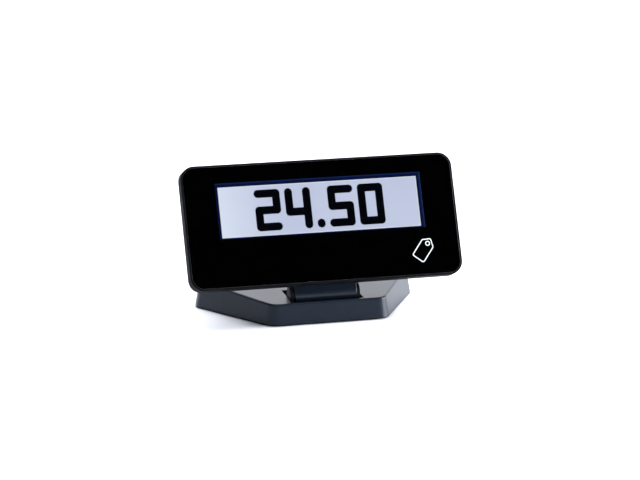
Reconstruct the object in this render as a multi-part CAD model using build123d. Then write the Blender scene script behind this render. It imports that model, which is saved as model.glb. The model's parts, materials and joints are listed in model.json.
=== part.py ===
from build123d import *
import math
import os

# Desk-top customer display for a till: a slim LCD head that tilts on a hexagonal weighted base.
#
# World frame: millimetres, +Z up, the shopper stands on the -Y side, origin on the desk at the base's
# centre. The head is drawn flat in its own frame, x to the right, y up the face, and z out of the face.
# Depths behind the face are positive numbers, so a depth d lies at z = -d. PLACE stands the head on its
# hinge.

# ---------------------------------------------------------------- driving dimensions
# head outline
HEAD_W = 148.0
HEAD_H = 66.0
HEAD_R = 7.5
EDGE_DEPTH = 6.5
HEAD_WALL = 2.0
REAR_ROOM = 2.3
RIM = 0.85
RIM_ROUND = 0.45
SEAM_BREAK = 0.35
BACK_INSET = 9.0
BACK_R = 5.0
BACK_ROUND = 1.2
LEAST_R = 0.6

# hinge axis, seen from the head and from the desk
TILT = 23.0
HINGE_IN = 12.5
HINGE_Z = 13.5
HINGE_SHY = 0.7
HINGE_DROP = 3.0

# lens and its printed mask
LENS_T = 1.5
MASK_T = 0.2
LENS_GAP = 0.1
LENS_ROUND = 0.25
SIDE_BAND = 18.0
BOTTOM_BAND = 26.4
TOP_BAND = 9.8
LEDGE_T = 1.2
LEDGE_MARGIN = 1.5

# display module stack
MODULE_GAP = 0.1
MODULE_BORDER = 3.4
FRAME_T = 0.4
POLARIZER_T = 0.2
CELL_T = 2.0
CELL_MARGIN = 2.2
GUIDE_T = 3.0
GUIDE_MARGIN = 1.6
REFLECTOR_T = 0.2
STACK_GAP = 0.1
STRIP_GAP = 0.8
STRIP_BOARD = 0.8
LAMPS = 5
LAMP_REACH = 0.7
LAMP_L = 2.8
LAMP_T = 1.2

# circuit board
BOARD_T = 1.6
BOARD_GAP = 0.2
BOARD_Y_IN = 12.0
BOARD_SCREW_Y_IN = 15.5
BOARD_BOSS_R = 2.2
BOARD_BOSS_GAP = 0.6
BOARD_EDGE = 2.4
NOTCH_CLEAR = 0.4
PACKAGE_EDGE = 0.25
LEAD = (0.3, 1.0, 0.25)
CHIP = (10.0, 10.0, 1.4)
CHIP_LEADS = 10
CHIP_PITCH = 0.8
CHIP_GAP = 1.15
REGULATOR = (6.5, 3.5, 1.6)
REGULATOR_LEADS = 3
REGULATOR_PITCH = 2.3
REGULATOR_RISE = 12.0
REGULATOR_IN = 17.0
CRYSTAL = (5.0, 3.2, 1.2)
CRYSTAL_STEP = 14.0
CAPACITOR = (3.2, 1.6, 1.6)
CAPACITOR_STEP = 9.0
CONNECTOR_H = 4.5
CONNECTOR_T = 1.6
CONNECTOR_GAP = 0.75
CONNECTOR_END = 2.0
FLEX_T = 0.2
FLEX_SLOT_IN = 2.0
FLEX_BEND = 3.0
FLEX_BOND = 1.2
FLEX_CLEAR = 1.0

# cable socket and the pocket that lets the plug in
SOCKET = (7.6, 5.6, 2.4)
SOCKET_IN = 29.0
SOCKET_LIP = 0.3
SOCKET_SHELL = 0.35
SOCKET_FLOOR = 1.0
TONGUE_W = 3.8
TONGUE_T = 0.6
TONGUE_IN = 1.2
SOCKET_CLEAR = 0.25
POCKET_W = 14.0
POCKET_TOP = 14.5
POCKET_WALL = 1.5
POCKET_DEPTH = 9.0

# screws
BOARD_SCREW_GRIP = 4.5
CASE_SCREW_GRIP = 3.5
CASE_SCREW_X_IN = 7.5
CASE_SCREW_Y_IN = 7.5
CASE_BOSS_R = 2.8
CASE_BOSS_DEPTH = 7.6
CASE_WEB = 1.7
WELL_WALL = 1.4
SCREW_R = 1.25
SCREW_HEAD_R = 2.3
SCREW_HEAD_T = 1.2
SCREW_CLEAR = 0.15
WELL_CLEAR = 0.45
TIP_GAP = 0.3
SCREW_DOME = 0.45
RECESS_R = 0.9
RECESS_W = 0.45
RECESS_T = 0.7

# neck
NECK_W = 34.0
BARREL_R = 6.0
NECK_TOP = 32.0
NECK_SLOPE = 5.0
NECK_ROUND = 0.8
NECK_COVER_T = 2.4
NECK_COVER_INSET = 1.6
NECK_COVER_LOW = 1.0
NECK_COVER_HIGH = 1.0
NECK_COVER_R = 1.5
NECK_COVER_GAP = 0.1
NECK_COVER_ROUND = 0.4
NECK_SCREW_IN = 5.0
NECK_SCREW_LOW = 14.5
NECK_SCREW_TOP_IN = 5.5
NECK_SCREW_HEAD_R = 2.75
NECK_SCREW_HEAD_T = 1.1
NECK_HEAD_GAP = 0.2
NECK_BOSS_WALL = 2.0
NECK_BOSS_GAP = 0.5

# hinge hardware
SHAFT_R = 2.5
SLEEVE_T = 1.1
SLEEVE_L = 9.0
SLEEVE_SLIT = 0.8
RUN_CLEAR = 0.03
EAR_T = 1.2
EAR_R = 5.0
EAR_GAP = 0.4
WASHER_T = 0.35
WASHER_IN = 0.3
FLANGE_L = 11.0
FLANGE_T = 1.5
FLANGE_BOLT_IN = 5.0
FLANGE_BOLT_STEP = 3.2
FLANGE_MARGIN = 2.0
FLANGE_WALL_GAP = 0.5
BOLT_TIP_GAP = 0.6
PIN_HEAD_R = 3.7
PIN_HEAD_T = 0.5
PIN_FLAT = 0.5

# base
BASE_DEPTH = 103.0
BASE_FRONT = 63.0
BASE_R = 8.0
DRAFT = 9.6
FRONT_H = 11.5
TOP_SLOPE = 4.0
BASE_WALL = 2.2
BASE_TOP_T = 2.2
TOP_ROUND = 1.1
FOOT_GAP = 0.5
PLATE_RIM = 0.5
PLATE_RIM_IN = 0.2
PLATE_T = 2.0
PLATE_GAP = 0.25
BALLAST_T = 3.0
BALLAST_INSET = 5.5
SLOT_GAP = 0.8
SLOT_BACK = 12.0
SLOT_LIP = 1.5
SLOT_ROUND = 0.5
LIP_GAP = 1.2
BASE_SCREW_IN = 9.7
BASE_BOSS_R = 3.2
BASE_SCREW_GRIP = 5.5
BASE_SCREW_HEAD_T = 0.8
BASE_SCREW_WELL = 1.0
BOSS_CLEAR = 0.6
FOOT_CLEAR = 0.2
FOOT_R = 5.0
FOOT_SINK = 0.5
FOOT_ROUND = 0.4
FOOT_SHARE = 0.8
THROUGH = 60.0
TOUCH = 0.01

# ---------------------------------------------------------------- sizes that follow
SIXTY = math.radians(60)
LENS_BACK = LENS_T + MASK_T
LEDGE_BACK = LENS_BACK + LEDGE_T
MODULE_FRONT = LEDGE_BACK + MODULE_GAP
CELL_FRONT = MODULE_FRONT + FRAME_T + POLARIZER_T
GUIDE_FRONT = CELL_FRONT + CELL_T + STACK_GAP
REFLECTOR_FRONT = GUIDE_FRONT + GUIDE_T
BOARD_FRONT = REFLECTOR_FRONT + REFLECTOR_T + BOARD_GAP
BOARD_BACK = BOARD_FRONT + BOARD_T
INNER_BACK = BOARD_BACK + REAR_ROOM
HEAD_DEPTH = INNER_BACK + HEAD_WALL
HINGE_DEPTH = HEAD_DEPTH - HINGE_SHY
WINDOW_W = HEAD_W - 2 * SIDE_BAND
WINDOW_H = HEAD_H - BOTTOM_BAND - TOP_BAND
WINDOW_Y = BOTTOM_BAND + WINDOW_H / 2
MODULE_W = WINDOW_W + 2 * MODULE_BORDER
MODULE_H = WINDOW_H + 2 * MODULE_BORDER
MODULE_LOW = WINDOW_Y - MODULE_H / 2
BOARD_SCREW_X = MODULE_W / 2 + BOARD_BOSS_GAP + BOARD_BOSS_R
BOARD_W = 2 * (BOARD_SCREW_X + BOARD_EDGE)
BOARD_H = HEAD_H - 2 * BOARD_Y_IN
BOARD_MID = HEAD_H / 2
BOARD_SCREWS = tuple(
    (s * BOARD_SCREW_X, y) for s in (-1, 1) for y in (BOARD_SCREW_Y_IN, HEAD_H - BOARD_SCREW_Y_IN)
)
CASE_SCREWS = tuple(
    (s * (HEAD_W / 2 - CASE_SCREW_X_IN), y)
    for s in (-1, 1)
    for y in (CASE_SCREW_Y_IN, HEAD_H - CASE_SCREW_Y_IN)
)
SOCKET_X = HEAD_W / 2 - SOCKET_IN
REGULATOR_X = SOCKET_X - REGULATOR_IN
REGULATOR_Y = BOARD_MID + REGULATOR_RISE
SOCKET_LOW = POCKET_TOP + POCKET_WALL + SOCKET_LIP
NECK_SCREW_X = NECK_W / 2 - NECK_SCREW_IN
NECK_SCREWS = tuple(
    (s * NECK_SCREW_X, y) for s in (-1, 1) for y in (NECK_SCREW_LOW, NECK_TOP - NECK_SCREW_TOP_IN)
)
NECK_BOSS_R = SCREW_R + NECK_BOSS_WALL
CHIP_X = -(NECK_SCREW_X + NECK_BOSS_R + CHIP_GAP + CHIP[0] / 2)
CONNECTOR_W = 2 * (NECK_SCREW_X - NECK_BOSS_R - CONNECTOR_GAP)
FLEX_W = CONNECTOR_W - 2 * CONNECTOR_END
FLEX_Y = MODULE_LOW - FLEX_SLOT_IN
CONNECTOR_Y = FLEX_Y - FLEX_BEND - CONNECTOR_H / 2
NECK_FRONT = HINGE_DEPTH - BARREL_R
NECK_BACK = HINGE_DEPTH + BARREL_R
NECK_SEAM = NECK_BACK - NECK_COVER_T
NECK_SEAT = NECK_SEAM - NECK_SCREW_HEAD_T - NECK_HEAD_GAP
SLEEVE_R = SHAFT_R + RUN_CLEAR + SLEEVE_T
EAR_IN = NECK_W / 2 + EAR_GAP
EAR_OUT = EAR_IN + EAR_T
SLOT_HALF = EAR_OUT + SLOT_GAP
COVER_LOW = FOOT_GAP + PLATE_RIM
PLATE_TOP = COVER_LOW + PLATE_T
BALLAST_TOP = PLATE_TOP + BALLAST_T
TAN_DRAFT = math.tan(math.radians(DRAFT))
TAN_TOP = math.tan(math.radians(TOP_SLOPE))
FRONT_EDGE_Y = -BASE_DEPTH / 2 + (FRONT_H - COVER_LOW) * TAN_DRAFT
HINGE_Y = -BASE_DEPTH / 2 + HINGE_IN
SLOT_FRONT_Y = FRONT_EDGE_Y + BASE_WALL
SLOT_BACK_Y = HINGE_Y + SLOT_BACK
FLANGE_TOP = BALLAST_TOP + FLANGE_T
FLANGE_BOLTS = tuple(
    (side * (EAR_OUT + FLANGE_L - FLANGE_BOLT_IN), HINGE_Y + step)
    for side in (-1, 1)
    for step in (-FLANGE_BOLT_STEP, FLANGE_BOLT_STEP)
)

PLACE = Pos(0, HINGE_Y, HINGE_Z) * Rot(90 - TILT, 0, 0) * Pos(0, HINGE_DROP, HINGE_DEPTH)


# ---------------------------------------------------------------- helpers
def top_z(y):
    """Height of the base's sloping top at y."""
    return FRONT_H + (y - FRONT_EDGE_Y) * TAN_TOP


def slab(sketch, near, far):
    """A head piece between two depths behind the face."""
    return Pos(0, 0, -far) * extrude(sketch, amount=far - near)


def face_outline(inset=0.0):
    """The head's rounded outline, drawn in by inset."""
    radius = max(HEAD_R - inset, LEAST_R)
    return Pos(0, HEAD_H / 2) * RectangleRounded(HEAD_W - 2 * inset, HEAD_H - 2 * inset, radius)


def window(margin=0.0):
    """The viewing window's rectangle, let out by margin."""
    return Pos(0, WINDOW_Y) * Rectangle(WINDOW_W + 2 * margin, WINDOW_H + 2 * margin)


def post(points, radius, near, far):
    """Round posts on the head at the given points."""
    return [slab(Pos(*p) * Circle(radius), near, far) for p in points]


def pan_screw(length, head_r=SCREW_HEAD_R, head_t=SCREW_HEAD_T):
    """A pan-head screw along -Z with its head's seat at the origin and a cross recess."""
    head = extrude(Circle(head_r), amount=head_t)
    head = fillet(head.edges().sort_by(Axis.Z)[-1], head_t * SCREW_DOME)
    cross = Rectangle(2 * RECESS_R, RECESS_W) + Rectangle(RECESS_W, 2 * RECESS_R)
    head -= Pos(0, 0, head_t - RECESS_T) * extrude(cross, amount=RECESS_T)
    shank = Pos(0, 0, -length) * extrude(Circle(SCREW_R), amount=length)
    return head + shank


def corners(inset=0.0):
    """The base's six corners, drawn in by inset, starting at the front left."""
    half = BASE_DEPTH / 2 - inset
    front = BASE_FRONT / 2 - inset * math.tan(SIXTY / 2)
    wide = front + half / math.tan(SIXTY)
    return [(-front, -half), (front, -half), (wide, 0), (front, half), (-front, half), (-wide, 0)]


def hexagon(inset=0.0):
    """The base's six-sided plan with round corners, drawn in by inset."""
    plan = Polygon(*corners(inset), align=None)
    return fillet(plan.vertices(), max(BASE_R - inset, LEAST_R))


def base_screws_at():
    """Screw centres, one inside the middle of each of the four sloping sides of the plan."""
    points = corners(BASE_SCREW_IN)
    pairs = [(1, 2), (2, 3), (4, 5), (5, 0)]
    return [tuple((points[a][k] + points[b][k]) / 2 for k in (0, 1)) for a, b in pairs]


def base_block(inset, low, roof_drop):
    """The tapering base between low and the sloping top less roof_drop."""
    high = top_z(BASE_DEPTH / 2)
    foot = Pos(0, 0, low) * hexagon(inset + (low - COVER_LOW) * TAN_DRAFT)
    block = extrude(foot, amount=high - low, taper=DRAFT)
    waste = Box(4 * BASE_DEPTH, 4 * BASE_DEPTH, THROUGH, align=(Align.CENTER, Align.CENTER, Align.MIN))
    return block - Pos(0, FRONT_EDGE_Y, FRONT_H - roof_drop) * Rot(TOP_SLOPE, 0, 0) * waste


def many(solids):
    """Separate solids kept together as one node."""
    return Compound(children=list(solids))


# ---------------------------------------------------------------- head: window and housing
def front_lens():
    plate = slab(face_outline(RIM + LENS_GAP), 0, LENS_T)
    return fillet(plate.faces().sort_by(Axis.Z)[-1].edges(), LENS_ROUND)


def lens_mask():
    return slab(face_outline(RIM + LENS_GAP) - window(), LENS_T, LENS_BACK)


def front_bezel():
    shell = slab(face_outline(), 0, EDGE_DEPTH)
    shell = fillet(shell.faces().sort_by(Axis.Z)[-1].edges(), RIM_ROUND)
    shell = chamfer(shell.faces().sort_by(Axis.Z)[0].edges(), SEAM_BREAK)
    shell -= slab(face_outline(RIM), 0, LENS_BACK)
    shell -= slab(face_outline(HEAD_WALL), LEDGE_BACK, EDGE_DEPTH)
    shell -= slab(window(LEDGE_MARGIN), LENS_BACK, LEDGE_BACK)
    for boss in post(BOARD_SCREWS, BOARD_BOSS_R, LEDGE_BACK, BOARD_FRONT):
        shell += boss
    for boss in post(CASE_SCREWS, CASE_BOSS_R, LEDGE_BACK, CASE_BOSS_DEPTH):
        shell += boss
    for hole in post(BOARD_SCREWS + CASE_SCREWS, SCREW_R, LEDGE_BACK, BOARD_FRONT):
        shell -= hole
    return shell


def dome(inset):
    """The rear cover's outer shape, or its hollow when inset is the wall: a slab with four sloping sides."""
    run = HEAD_DEPTH - EDGE_DEPTH
    rim_inset = inset * math.hypot(BACK_INSET, run) / run
    depth = HEAD_DEPTH - inset - EDGE_DEPTH
    back_inset = rim_inset + BACK_INSET * depth / run
    wide = Rectangle(HEAD_W - 2 * rim_inset, HEAD_H - 2 * rim_inset)
    small = Pos(0, 0, -depth) * Rectangle(HEAD_W - 2 * back_inset, HEAD_H - 2 * back_inset)
    block = loft([wide, small], ruled=True)
    sloping = block.edges().filter_by(lambda e: abs((e @ 0).Z - (e @ 1).Z) > depth / 2)
    block = fillet(sloping, max(BACK_R - inset, LEAST_R))
    if inset == 0:
        block = fillet(block.faces().sort_by(Axis.Z)[0].edges(), BACK_ROUND)
    block = Pos(0, HEAD_H / 2, -EDGE_DEPTH) * block
    return block & slab(face_outline(rim_inset), EDGE_DEPTH, HEAD_DEPTH)


def rear_cover():
    body = dome(0)
    shell = body - dome(HEAD_WALL)
    for boss in post(CASE_SCREWS, SCREW_HEAD_R + WELL_CLEAR + WELL_WALL, CASE_BOSS_DEPTH, HEAD_DEPTH):
        shell += boss & body
    for boss in post(NECK_SCREWS, NECK_BOSS_R, BOARD_BACK + NECK_BOSS_GAP, INNER_BACK):
        shell += boss
    shell += pocket_walls() & body
    for hole in post(CASE_SCREWS, SCREW_R + SCREW_CLEAR, EDGE_DEPTH, HEAD_DEPTH):
        shell -= hole
    web_back = CASE_BOSS_DEPTH + CASE_WEB
    for well in post(CASE_SCREWS, SCREW_HEAD_R + WELL_CLEAR, web_back, HEAD_DEPTH):
        shell -= well
    for hole in post(NECK_SCREWS, SCREW_R, BOARD_BACK, HEAD_DEPTH):
        shell -= hole
    shell -= pocket_space()
    shell -= socket_block(SOCKET_CLEAR, POCKET_TOP - SOCKET_CLEAR)
    return shell


def pocket_space():
    """The clear pocket below the cable socket, open behind and below."""
    low = 0
    mouth = Pos(SOCKET_X, (POCKET_TOP + low) / 2) * Rectangle(POCKET_W, POCKET_TOP - low)
    return slab(mouth, POCKET_DEPTH, HEAD_DEPTH)


def pocket_walls():
    """Walls between the plug pocket and the inside of the head."""
    width = POCKET_W + 2 * POCKET_WALL
    top = POCKET_TOP + POCKET_WALL
    return slab(Pos(SOCKET_X, top / 2) * Rectangle(width, top), POCKET_DEPTH - POCKET_WALL, HEAD_DEPTH)


def socket_block(clear, low):
    """The socket's outside as a block, let out by clear, starting at low."""
    width, length, depth = SOCKET
    top = SOCKET_LOW + length + clear
    outline = Pos(SOCKET_X, (top + low) / 2) * Rectangle(width + 2 * clear, top - low)
    return slab(outline, BOARD_BACK - clear, BOARD_BACK + depth + clear)


# ---------------------------------------------------------------- head: display module
def lcd_frame():
    outline = Pos(0, WINDOW_Y) * Rectangle(MODULE_W, MODULE_H)
    inner = Pos(0, WINDOW_Y) * Rectangle(MODULE_W - 2 * FRAME_T, MODULE_H - 2 * FRAME_T)
    frame = slab(outline, MODULE_FRONT, BOARD_FRONT)
    frame -= slab(inner, MODULE_FRONT + FRAME_T, BOARD_FRONT)
    frame -= slab(window(0.5), MODULE_FRONT, MODULE_FRONT + FRAME_T)
    gate = Pos(0, MODULE_LOW) * Rectangle(FLEX_W + 2 * FLEX_CLEAR, 4 * FLEX_CLEAR)
    return frame - slab(gate, CELL_FRONT, BOARD_FRONT)


def module_rectangle(margin):
    """A rectangle inside the module's frame, clear of its wall by margin."""
    cut = 2 * (FRAME_T + margin)
    return Pos(0, WINDOW_Y) * Rectangle(MODULE_W - cut, MODULE_H - cut)


def lcd_polarizer():
    return slab(module_rectangle(CELL_MARGIN / 2), MODULE_FRONT + FRAME_T, CELL_FRONT)


def lcd_cell():
    return slab(module_rectangle(STACK_GAP), CELL_FRONT, CELL_FRONT + CELL_T)


def guide_rectangle():
    """The light guide's plan: the frame's inside less the room for the lamp strip."""
    left = -MODULE_W / 2 + FRAME_T + STRIP_GAP + STRIP_BOARD + LAMP_REACH + STACK_GAP
    right = MODULE_W / 2 - FRAME_T - GUIDE_MARGIN
    height = MODULE_H - 2 * (FRAME_T + GUIDE_MARGIN)
    return Pos((left + right) / 2, WINDOW_Y) * Rectangle(right - left, height)


def light_guide():
    return slab(guide_rectangle(), GUIDE_FRONT, REFLECTOR_FRONT)


def backlight_reflector():
    return slab(guide_rectangle(), REFLECTOR_FRONT, REFLECTOR_FRONT + REFLECTOR_T)


def backlight_strip():
    """A narrow lamp board at the guide's left end with a row of lamps on it."""
    left = -MODULE_W / 2 + FRAME_T + STRIP_GAP
    height = MODULE_H - 2 * (FRAME_T + GUIDE_MARGIN)
    board = Pos(left + STRIP_BOARD / 2, WINDOW_Y) * Rectangle(STRIP_BOARD, height)
    strip = slab(board, GUIDE_FRONT, REFLECTOR_FRONT)
    middle = (GUIDE_FRONT + REFLECTOR_FRONT) / 2
    pitch = height / LAMPS
    for k in range(LAMPS):
        at = Pos(left + STRIP_BOARD + LAMP_REACH / 2, WINDOW_Y + (k - (LAMPS - 1) / 2) * pitch)
        strip += slab(at * Rectangle(LAMP_REACH, LAMP_L), middle - LAMP_T / 2, middle + LAMP_T / 2)
    return strip


def lcd_flex():
    """The flexible tail from the glass, through the board's slot, to its connector."""
    start = CELL_FRONT + CELL_T + FLEX_T / 2
    back = BOARD_BACK + CONNECTOR_T / 2
    points = [
        (MODULE_LOW + FRAME_T + FLEX_BOND, -start),
        (FLEX_Y, -start),
        (FLEX_Y, -back),
        (CONNECTOR_Y + CONNECTOR_H / 2, -back),
    ]
    path = Polyline(*points)
    ribbon = offset(path, amount=FLEX_T / 2, side=Side.BOTH)
    profile = make_face(ribbon)
    return extrude(Plane.YZ * profile, amount=FLEX_W / 2, both=True)


# ---------------------------------------------------------------- head: circuit board
def display_board():
    outline = Pos(0, BOARD_MID) * Rectangle(BOARD_W, BOARD_H)
    for p in BOARD_SCREWS:
        outline -= Pos(*p) * Circle(SCREW_R + SCREW_CLEAR)
    outline -= Pos(0, FLEX_Y) * Rectangle(FLEX_W + 2 * FLEX_CLEAR, 2 * FLEX_CLEAR)
    notch_w = POCKET_W + 2 * (POCKET_WALL + NOTCH_CLEAR)
    notch = Pos(SOCKET_X, SOCKET_LOW / 2) * Rectangle(notch_w, SOCKET_LOW)
    return slab(outline - notch, BOARD_FRONT, BOARD_BACK)


def on_board(size, x, y):
    """A packaged part of the given width, height and thickness on the board's back."""
    width, height, depth = size
    body = slab(Pos(x, y) * Rectangle(width, height), BOARD_BACK, BOARD_BACK + depth)
    return chamfer(body.faces().sort_by(Axis.Z)[0].edges(), PACKAGE_EDGE)


def leads(x, y, count, pitch, body_height):
    """Two rows of flat leads, above and below a part."""
    width, length, thick = LEAD
    reach = (body_height + length) / 2
    rows = []
    for side in (-1, 1):
        for k in range(count):
            at = Pos(x + (k - (count - 1) / 2) * pitch, y + side * reach)
            rows.append(slab(at * Rectangle(width, length), BOARD_BACK, BOARD_BACK + thick))
    return rows


def controller_chip():
    body = on_board(CHIP, CHIP_X, BOARD_MID)
    return many([body] + leads(CHIP_X, BOARD_MID, CHIP_LEADS, CHIP_PITCH, CHIP[1]))


def voltage_regulator():
    body = on_board(REGULATOR, REGULATOR_X, REGULATOR_Y)
    return many([body] + leads(REGULATOR_X, REGULATOR_Y, REGULATOR_LEADS, REGULATOR_PITCH, REGULATOR[1]))


def board_crystal():
    return on_board(CRYSTAL, CHIP_X - CRYSTAL_STEP, BOARD_MID)


def board_capacitors():
    """Ceramic capacitors above and below the crystal, above the chip and each side of the regulator."""
    crystal_x = CHIP_X - CRYSTAL_STEP
    places = [(crystal_x, BOARD_MID + side * CAPACITOR_STEP) for side in (-1, 1)]
    places += [(CHIP_X + side * CAPACITOR[0], BOARD_MID + CAPACITOR_STEP) for side in (-1, 1)]
    places += [(REGULATOR_X + side * CAPACITOR_STEP, REGULATOR_Y) for side in (-1, 1)]
    return many(on_board(CAPACITOR, x, y) for x, y in places)


def flex_connector():
    body = on_board((CONNECTOR_W, CONNECTOR_H, CONNECTOR_T), 0, CONNECTOR_Y)
    mouth = Pos(0, CONNECTOR_Y + CONNECTOR_H / 2) * Rectangle(FLEX_W + 2 * FLEX_T, CONNECTOR_H / 2)
    middle = BOARD_BACK + CONNECTOR_T / 2
    return body - slab(mouth, middle - FLEX_T, middle + FLEX_T)


def usb_socket():
    width, length, depth = SOCKET
    shell = socket_block(0, SOCKET_LOW)
    cavity = Rectangle(width - 2 * SOCKET_SHELL, length - SOCKET_FLOOR)
    cavity = Pos(SOCKET_X, SOCKET_LOW + (length - SOCKET_FLOOR) / 2) * cavity
    shell -= slab(cavity, BOARD_BACK + SOCKET_SHELL, BOARD_BACK + depth - SOCKET_SHELL)
    tongue = Rectangle(TONGUE_W, length - TONGUE_IN)
    tongue = Pos(SOCKET_X, SOCKET_LOW + (length + TONGUE_IN) / 2) * tongue
    middle = BOARD_BACK + depth / 2
    return shell + slab(tongue, middle - TONGUE_T / 2, middle + TONGUE_T / 2)


def screws_from_behind(points, seat, length, **head):
    """Screws driven into the head from behind with their heads seated at a depth."""
    turn = Rot(180, 0, 0)
    return many(Pos(x, y, -seat) * turn * pan_screw(length, **head) for x, y in points)


def board_screws():
    return screws_from_behind(BOARD_SCREWS, BOARD_BACK, BOARD_T + BOARD_SCREW_GRIP)


def case_screws():
    return screws_from_behind(CASE_SCREWS, CASE_BOSS_DEPTH + CASE_WEB, CASE_WEB + CASE_SCREW_GRIP)


# ---------------------------------------------------------------- neck, part of the head
def neck_profile():
    """The neck seen from its side, as (height, -depth): a barrel below and an arm up the head's back."""
    slope = BACK_INSET / (HEAD_DEPTH - EDGE_DEPTH)
    meet = (NECK_FRONT - EDGE_DEPTH) * slope
    body = Polygon(
        (-HINGE_DROP, -NECK_FRONT),
        (meet, -NECK_FRONT),
        (BACK_INSET, -HEAD_DEPTH),
        (NECK_TOP, -HEAD_DEPTH),
        (NECK_TOP - NECK_SLOPE, -NECK_BACK),
        (-HINGE_DROP, -NECK_BACK),
        align=None,
    )
    return body + Pos(-HINGE_DROP, -HINGE_DEPTH) * Circle(BARREL_R)


def neck_block():
    """The neck's outside, rounded along its free edges and left sharp where it meets the head."""
    block = extrude(Plane.YZ * neck_profile(), amount=NECK_W / 2, both=True)
    rim = [edge for face in block.faces().filter_by(Axis.X) for edge in face.edges()]
    return fillet([edge for edge in rim if -edge.center().Z > HEAD_DEPTH], NECK_ROUND)


def neck_cover_block(clear=0.0):
    """The pocket in the neck's back that its cover fills."""
    low = BARREL_R - HINGE_DROP + NECK_COVER_LOW
    high = NECK_TOP - NECK_COVER_HIGH
    width = NECK_W - 2 * (NECK_COVER_INSET + clear)
    outline = Pos(0, (low + high) / 2) * RectangleRounded(width, high - low - 2 * clear, NECK_COVER_R)
    return slab(outline, NECK_SEAM, NECK_BACK)


def neck_body():
    body = neck_block() - neck_cover_block()
    for hole in post(NECK_SCREWS, SCREW_R + SCREW_CLEAR, HEAD_DEPTH, NECK_SEAM):
        body -= hole
    for well in post(NECK_SCREWS, NECK_SCREW_HEAD_R + SCREW_CLEAR, NECK_SEAT, NECK_SEAM):
        body -= well
    bore = Pos(0, -HINGE_DROP, -HINGE_DEPTH) * Rot(0, 90, 0) * Cylinder(SLEEVE_R, NECK_W + 1)
    return body - bore


def neck_cover():
    plate = neck_cover_block(NECK_COVER_GAP) & neck_block()
    return fillet(plate.faces().sort_by(Axis.Z)[0].edges(), NECK_COVER_ROUND)


def neck_screws():
    reach = NECK_SEAT - BOARD_BACK - NECK_BOSS_GAP - TIP_GAP
    head = {"head_r": NECK_SCREW_HEAD_R, "head_t": NECK_SCREW_HEAD_T}
    return screws_from_behind(NECK_SCREWS, NECK_SEAT, reach, **head)


def friction_sleeves():
    """Split spring sleeves, one at each end of the barrel, that grip the shaft."""
    ring = Circle(SLEEVE_R) - Circle(SHAFT_R + RUN_CLEAR)
    ring -= Pos(SLEEVE_R, 0) * Rectangle(2 * SLEEVE_R, SLEEVE_SLIT)
    sleeve = extrude(ring, amount=SLEEVE_L)
    ends = (-NECK_W / 2, NECK_W / 2 - SLEEVE_L)
    return many(Pos(x, -HINGE_DROP, -HINGE_DEPTH) * Rot(0, 90, 0) * sleeve for x in ends)


# ---------------------------------------------------------------- hinge hardware in the base
def shaft_section():
    """Round shaft with two flats that stop it turning in the ears."""
    flat = Rectangle(2 * (SHAFT_R - PIN_FLAT), 4 * SHAFT_R)
    return Circle(SHAFT_R) & flat


def hinge_shaft():
    """The shaft along X: round inside the neck, flatted in the ears, with a low head on the left."""
    axis = Pos(0, HINGE_Y, HINGE_Z) * Rot(0, 90, 0)
    round_part = axis * Cylinder(SHAFT_R, 2 * EAR_IN)
    ends = axis * extrude(shaft_section(), amount=EAR_OUT, both=True)
    head = Pos(0, 0, -EAR_OUT - PIN_HEAD_T / 2) * Cylinder(PIN_HEAD_R, PIN_HEAD_T)
    return round_part + ends + axis * head


def shaft_retainer():
    """Press-on ring outside the right ear."""
    ring = extrude(Circle(PIN_HEAD_R) - Circle(SHAFT_R - PIN_FLAT), amount=PIN_HEAD_T)
    return Pos(EAR_OUT, HINGE_Y, HINGE_Z) * Rot(0, 90, 0) * ring


def hinge_washers():
    ring = extrude(Circle(EAR_R - WASHER_IN) - Circle(SHAFT_R + RUN_CLEAR), amount=WASHER_T)
    starts = (-EAR_IN, EAR_IN - WASHER_T)
    return many(Pos(x, HINGE_Y, HINGE_Z) * Rot(0, 90, 0) * ring for x in starts)


def hinge_bracket(side):
    """An L of steel: an ear beside the neck and a flange bolted to the ballast."""
    rise = HINGE_Z - BALLAST_TOP
    ear = Pos(HINGE_Y, HINGE_Z) * Circle(EAR_R)
    ear += Pos(HINGE_Y, BALLAST_TOP + rise / 2) * Rectangle(2 * EAR_R, rise)
    ear = extrude(Plane.YZ * ear, amount=EAR_T)
    ear -= Pos(0, HINGE_Y, HINGE_Z) * Rot(0, 90, 0) * extrude(shaft_section(), amount=2 * EAR_T)
    ear = Pos(EAR_IN if side > 0 else -EAR_OUT, 0, 0) * ear
    flange = Pos(side * (EAR_OUT + FLANGE_L / 2), HINGE_Y) * Rectangle(FLANGE_L, 2 * (EAR_R + FLANGE_MARGIN))
    for x, y in FLANGE_BOLTS:
        if x * side > 0:
            flange -= Pos(x, y) * Circle(SCREW_R + SCREW_CLEAR)
    flange &= hexagon(BASE_WALL + (FLANGE_TOP - COVER_LOW) * TAN_DRAFT + FLANGE_WALL_GAP)
    web = Pos(side * (EAR_IN + EAR_T / 2), HINGE_Y) * Rectangle(EAR_T, 2 * EAR_R)
    return ear + Pos(0, 0, BALLAST_TOP) * extrude(flange + web, amount=FLANGE_T)


def bracket_screws():
    screw = pan_screw(FLANGE_T + BALLAST_T - BOLT_TIP_GAP)
    return many(Pos(x, y, FLANGE_TOP) * screw for x, y in FLANGE_BOLTS)


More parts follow.
